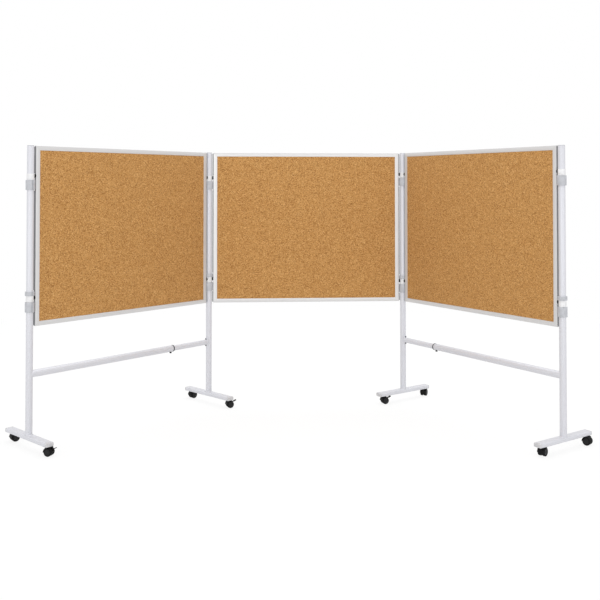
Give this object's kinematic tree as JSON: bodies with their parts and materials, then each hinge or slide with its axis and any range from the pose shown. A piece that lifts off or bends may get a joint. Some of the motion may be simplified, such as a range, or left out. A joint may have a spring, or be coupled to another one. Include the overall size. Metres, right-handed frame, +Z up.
{
  "type": "mobile pinboard",
  "caption": "Folding mobile pinboard screen: framed cork boards hinged side by side on round posts, the outer ones on wheeled T-foot stands with telescopic crossbars and braked swivel castors.",
  "frame": {"origin": "on the floor, under the centre of the middle board", "axes": "+Z up; +X along the middle board to the viewer's right; -Y is the front, the side that the wings fold to"},
  "size_m": [3.9455, 1.709, 2.002],
  "materials": {
    "frame_aluminium": "fine satin anodised, pale silver",
    "silver_coat": "smooth silver-grey powder coat on steel tube",
    "cork": "fine granulated cork sheet, matt",
    "fibreboard": "raw fibreboard",
    "white_plastic": "moulded, satin",
    "grey_plastic": "moulded, satin light grey",
    "black_plastic": "moulded, satin black",
    "wheel_black": "hard nylon wheel, black"
  },
  "bodies": {
    "middle_board": {"middle_board_frame": "frame_aluminium", "middle_board_core": "fibreboard", "middle_board_cork": "cork", "middle_board_rings": "white_plastic", "middle_board_screws": "black_plastic"},
    "left_stand": {"left_board_frame": "frame_aluminium", "left_board_core": "fibreboard", "left_board_cork": "cork", "left_board_screws": "black_plastic", "left_inner_board_rings": "white_plastic", "left_inner_collars": "grey_plastic", "left_inner_post": "silver_coat", "left_inner_foot": "silver_coat", "left_inner_end_caps": "grey_plastic", "left_inner_bar": "silver_coat"},
    "left_outer_stand": {"left_outer_board_rings": "white_plastic", "left_outer_collars": "grey_plastic", "left_outer_post": "silver_coat", "left_outer_foot": "silver_coat", "left_outer_end_caps": "grey_plastic", "left_outer_bar": "silver_coat", "left_bar_clamp": "black_plastic"},
    "right_stand": {"right_board_frame": "frame_aluminium", "right_board_core": "fibreboard", "right_board_cork": "cork", "right_board_screws": "black_plastic", "right_inner_board_rings": "white_plastic", "right_inner_collars": "grey_plastic", "right_inner_post": "silver_coat", "right_inner_foot": "silver_coat", "right_inner_end_caps": "grey_plastic", "right_inner_bar": "silver_coat"},
    "right_outer_stand": {"right_outer_board_rings": "white_plastic", "right_outer_collars": "grey_plastic", "right_outer_post": "silver_coat", "right_outer_foot": "silver_coat", "right_outer_end_caps": "grey_plastic", "right_outer_bar": "silver_coat", "right_bar_clamp": "black_plastic"},
    "left_inner_front_castor": {"left_inner_front_castor": "black_plastic"},
    "left_inner_front_wheels": {"left_inner_front_wheels": "wheel_black"},
    "left_inner_front_brake_lever": {"left_inner_front_brake_lever": "black_plastic"},
    "left_inner_rear_castor": {"left_inner_rear_castor": "black_plastic"},
    "left_inner_rear_wheels": {"left_inner_rear_wheels": "wheel_black"},
    "left_outer_front_castor": {"left_outer_front_castor": "black_plastic"},
    "left_outer_front_wheels": {"left_outer_front_wheels": "wheel_black"},
    "left_outer_front_brake_lever": {"left_outer_front_brake_lever": "black_plastic"},
    "left_outer_rear_castor": {"left_outer_rear_castor": "black_plastic"},
    "left_outer_rear_wheels": {"left_outer_rear_wheels": "wheel_black"},
    "right_inner_front_castor": {"right_inner_front_castor": "black_plastic"},
    "right_inner_front_wheels": {"right_inner_front_wheels": "wheel_black"},
    "right_inner_front_brake_lever": {"right_inner_front_brake_lever": "black_plastic"},
    "right_inner_rear_castor": {"right_inner_rear_castor": "black_plastic"},
    "right_inner_rear_wheels": {"right_inner_rear_wheels": "wheel_black"},
    "right_outer_front_castor": {"right_outer_front_castor": "black_plastic"},
    "right_outer_front_wheels": {"right_outer_front_wheels": "wheel_black"},
    "right_outer_front_brake_lever": {"right_outer_front_brake_lever": "black_plastic"},
    "right_outer_rear_castor": {"right_outer_rear_castor": "black_plastic"},
    "right_outer_rear_wheels": {"right_outer_rear_wheels": "wheel_black"}
  },
  "joints": [
    {"name": "left_wing_hinge", "type": "hinge", "parent": "middle_board", "child": "left_stand", "pos_m": [-0.785, 0, 0], "axis": [0, 0, 1], "range_deg": [-134, 46]},
    {"name": "left_bar_slide", "type": "slide", "parent": "left_stand", "child": "left_outer_stand", "axis": [-0.7193, -0.6947, 0], "range_m": [0, 0.2]},
    {"name": "right_wing_hinge", "type": "hinge", "parent": "middle_board", "child": "right_stand", "pos_m": [0.785, 0, 0], "axis": [0, 0, -1], "range_deg": [-149, 31]},
    {"name": "right_bar_slide", "type": "slide", "parent": "right_stand", "child": "right_outer_stand", "axis": [0.515, -0.8572, 0], "range_m": [0, 0.2]},
    {"name": "left_inner_front_swivel", "type": "hinge", "parent": "left_stand", "child": "left_inner_front_castor", "pos_m": [-0.63218, -0.15826, 0], "axis": [0, 0, 1], "continuous": true},
    {"name": "left_inner_front_roll", "type": "hinge", "parent": "left_inner_front_castor", "child": "left_inner_front_wheels", "pos_m": [-0.61338, -0.15141, 0.0275], "axis": [-0.342, 0.9397, 0], "continuous": true},
    {"name": "left_inner_front_brake", "type": "hinge", "parent": "left_inner_front_castor", "child": "left_inner_front_brake_lever", "pos_m": [-0.59791, -0.14578, 0.04132], "axis": [-0.342, 0.9397, 0], "range_deg": [0, 25]},
    {"name": "left_inner_rear_swivel", "type": "hinge", "parent": "left_stand", "child": "left_inner_rear_castor", "pos_m": [-0.93783, 0.15826, 0], "axis": [0, 0, 1], "continuous": true},
    {"name": "left_inner_rear_roll", "type": "hinge", "parent": "left_inner_rear_castor", "child": "left_inner_rear_wheels", "pos_m": [-0.9225, 0.17111, 0.0275], "axis": [-0.6428, 0.766, 0], "continuous": true},
    {"name": "left_outer_front_swivel", "type": "hinge", "parent": "left_outer_stand", "child": "left_outer_front_castor", "pos_m": [-1.76154, -1.24887, 0], "axis": [0, 0, 1], "continuous": true},
    {"name": "left_outer_front_roll", "type": "hinge", "parent": "left_outer_front_castor", "child": "left_outer_front_wheels", "pos_m": [-1.74274, -1.25571, 0.0275], "axis": [0.342, 0.9397, 0], "continuous": true},
    {"name": "left_outer_front_brake", "type": "hinge", "parent": "left_outer_front_castor", "child": "left_outer_front_brake_lever", "pos_m": [-1.72727, -1.26134, 0.04132], "axis": [0.342, 0.9397, 0], "range_deg": [0, 25]},
    {"name": "left_outer_rear_swivel", "type": "hinge", "parent": "left_outer_stand", "child": "left_outer_rear_castor", "pos_m": [-2.06719, -0.93236, 0], "axis": [0, 0, 1], "continuous": true},
    {"name": "left_outer_rear_roll", "type": "hinge", "parent": "left_outer_rear_castor", "child": "left_outer_rear_wheels", "pos_m": [-2.0508, -0.92089, 0.0275], "axis": [-0.5736, 0.8192, 0], "continuous": true},
    {"name": "right_inner_front_swivel", "type": "hinge", "parent": "right_stand", "child": "right_inner_front_castor", "pos_m": [0.59642, -0.11331, 0], "axis": [0, 0, 1], "continuous": true},
    {"name": "right_inner_front_roll", "type": "hinge", "parent": "right_inner_front_castor", "child": "right_inner_front_wheels", "pos_m": [0.61574, -0.10813, 0.0275], "axis": [-0.2588, 0.9659, 0], "continuous": true},
    {"name": "right_inner_front_brake", "type": "hinge", "parent": "right_inner_front_castor", "child": "right_inner_front_brake_lever", "pos_m": [0.63165, -0.10387, 0.04132], "axis": [-0.2588, 0.9659, 0], "range_deg": [0, 25]},
    {"name": "right_inner_rear_swivel", "type": "hinge", "parent": "right_stand", "child": "right_inner_rear_castor", "pos_m": [0.97358, 0.11331, 0], "axis": [0, 0, 1], "continuous": true},
    {"name": "right_inner_rear_roll", "type": "hinge", "parent": "right_inner_rear_castor", "child": "right_inner_rear_wheels", "pos_m": [0.98358, 0.13063, 0.0275], "axis": [-0.866, 0.5, 0], "continuous": true},
    {"name": "right_outer_front_swivel", "type": "hinge", "parent": "right_outer_stand", "child": "right_outer_front_castor", "pos_m": [1.40503, -1.45906, 0], "axis": [0, 0, 1], "continuous": true},
    {"name": "right_outer_front_roll", "type": "hinge", "parent": "right_outer_front_castor", "child": "right_outer_front_wheels", "pos_m": [1.41918, -1.44492, 0.0275], "axis": [-0.7071, 0.7071, 0], "continuous": true},
    {"name": "right_outer_front_brake", "type": "hinge", "parent": "right_outer_front_castor", "child": "right_outer_front_brake_lever", "pos_m": [1.43082, -1.43327, 0.04132], "axis": [-0.7071, 0.7071, 0], "range_deg": [0, 25]},
    {"name": "right_outer_rear_swivel", "type": "hinge", "parent": "right_outer_stand", "child": "right_outer_rear_castor", "pos_m": [1.78219, -1.23244, 0], "axis": [0, 0, 1], "continuous": true},
    {"name": "right_outer_rear_roll", "type": "hinge", "parent": "right_outer_rear_castor", "child": "right_outer_rear_wheels", "pos_m": [1.79633, -1.24659, 0.0275], "axis": [0.7071, 0.7071, 0], "continuous": true}
  ]
}
